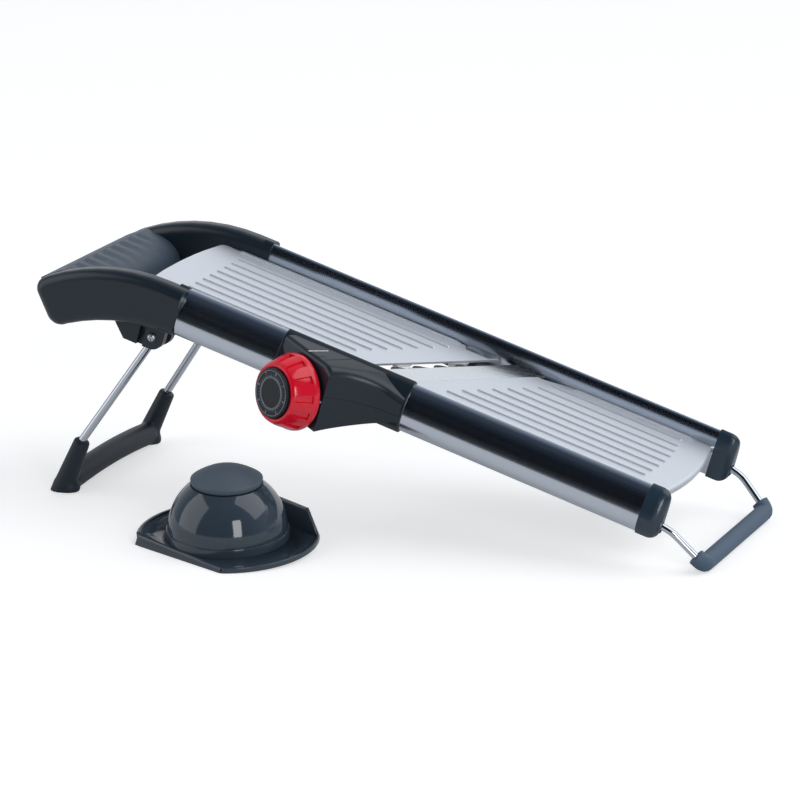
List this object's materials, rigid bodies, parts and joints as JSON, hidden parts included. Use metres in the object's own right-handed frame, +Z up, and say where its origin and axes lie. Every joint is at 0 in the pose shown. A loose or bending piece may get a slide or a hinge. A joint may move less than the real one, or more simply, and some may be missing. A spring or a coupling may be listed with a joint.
{
  "type": "mandoline slicer",
  "caption": "Kitchen mandoline slicer on a folding leg and wire bail, with ridged steel plates, a slanted blade, a slice knob, a rear grip and a loose domed food pusher.",
  "frame": {"origin": "middle of the bounding box of the slicer and its pusher, on the floor they stand on", "axes": "+X along the rails from the handle down to the front bail, +Y from the knob's side to the far rail, +Z up"},
  "size_m": [0.3814, 0.2074, 0.1295],
  "materials": {
    "rail_steel": "mirror-polished stainless steel tube",
    "plate_steel": "pressed sheet, finely brushed along the feed",
    "blade_steel": "ground and honed stainless steel",
    "wire_steel": "polished round wire",
    "screw_steel": "plain steel screws and pins",
    "shaft_steel": "turned steel",
    "dark_plastic": "moulded, satin",
    "cap_plastic": "moulded, polished",
    "grip_rubber": "soft over-moulded pad, matte",
    "foot_rubber": "moulded, matte",
    "sleeve_rubber": "soft tube, matte",
    "red_plastic": "moulded, polished",
    "cam_plastic": "slippery natural plastic",
    "pusher_plastic": "moulded, polished",
    "disc_rubber": "soft touch, matte"
  },
  "bodies": {
    "frame": {"near_rail": "rail_steel", "far_rail": "rail_steel", "handle": "dark_plastic", "grip_pad": "grip_rubber", "lower_plate": "plate_steel", "slicing_blade": "blade_steel", "wave_blade": "blade_steel", "blade_bed": "dark_plastic", "blade_screws": "screw_steel", "guide_pins": "screw_steel", "housing_top_shell": "dark_plastic", "housing_bottom_shell": "dark_plastic", "housing_screws": "screw_steel", "bearing_block": "dark_plastic", "bearing_screw": "screw_steel", "near_leg_bracket": "dark_plastic", "far_leg_bracket": "dark_plastic", "leg_pivot_screws": "screw_steel", "near_end_cap": "dark_plastic", "far_end_cap": "dark_plastic"},
    "ramp": {"upper_plate": "plate_steel", "cam_pads": "cam_plastic"},
    "dial": {"knob": "red_plastic", "knob_cap": "cap_plastic", "knob_screw": "screw_steel", "cam_shaft": "shaft_steel", "lift_cams": "cam_plastic"},
    "leg": {"leg_wires": "wire_steel", "rubber_foot": "foot_rubber"},
    "bail": {"bail_wire": "wire_steel", "bail_sleeve": "sleeve_rubber"},
    "pusher": {"pusher_hood": "pusher_plastic"},
    "plunger": {"palm_disc": "disc_rubber", "plunger_stem": "pusher_plastic", "prong_plate": "pusher_plastic", "prongs": "screw_steel"}
  },
  "joints": [
    {"name": "plate_lift", "type": "slide", "parent": "frame", "child": "ramp", "axis": [0.2823, 0, 0.9593], "range_m": [-0.0065, 0.0005]},
    {"name": "knob_turn", "type": "hinge", "parent": "frame", "child": "dial", "pos_m": [-0.03294, -0.02783, 0.07772], "axis": [-0.443, -0.887, 0.1304], "range_deg": [-17.24, 222.96]},
    {"name": "leg_fold", "type": "hinge", "parent": "frame", "child": "leg", "pos_m": [-0.12561, 0.04317, 0.09259], "axis": [0, -1, 0], "range_deg": [0, 90]},
    {"name": "bail_fold", "type": "hinge", "parent": "frame", "child": "bail", "pos_m": [0.15956, 0.04317, 0.02554], "axis": [0, 1, 0], "range_deg": [0, 85]},
    {"name": "pusher_lift", "type": "slide", "parent": "frame", "child": "pusher", "axis": [0, -0.7071, 0.7071], "range_m": [0, 0.12]},
    {"name": "plunger_slide", "type": "slide", "parent": "pusher", "child": "plunger", "axis": [0.0216, -0.0754, 0.9969], "range_m": [0, 0.016]}
  ],
  "couplings": [
    {"joint": "knob_turn", "follows": "plate_lift", "rad_per_m": -598.4}
  ]
}
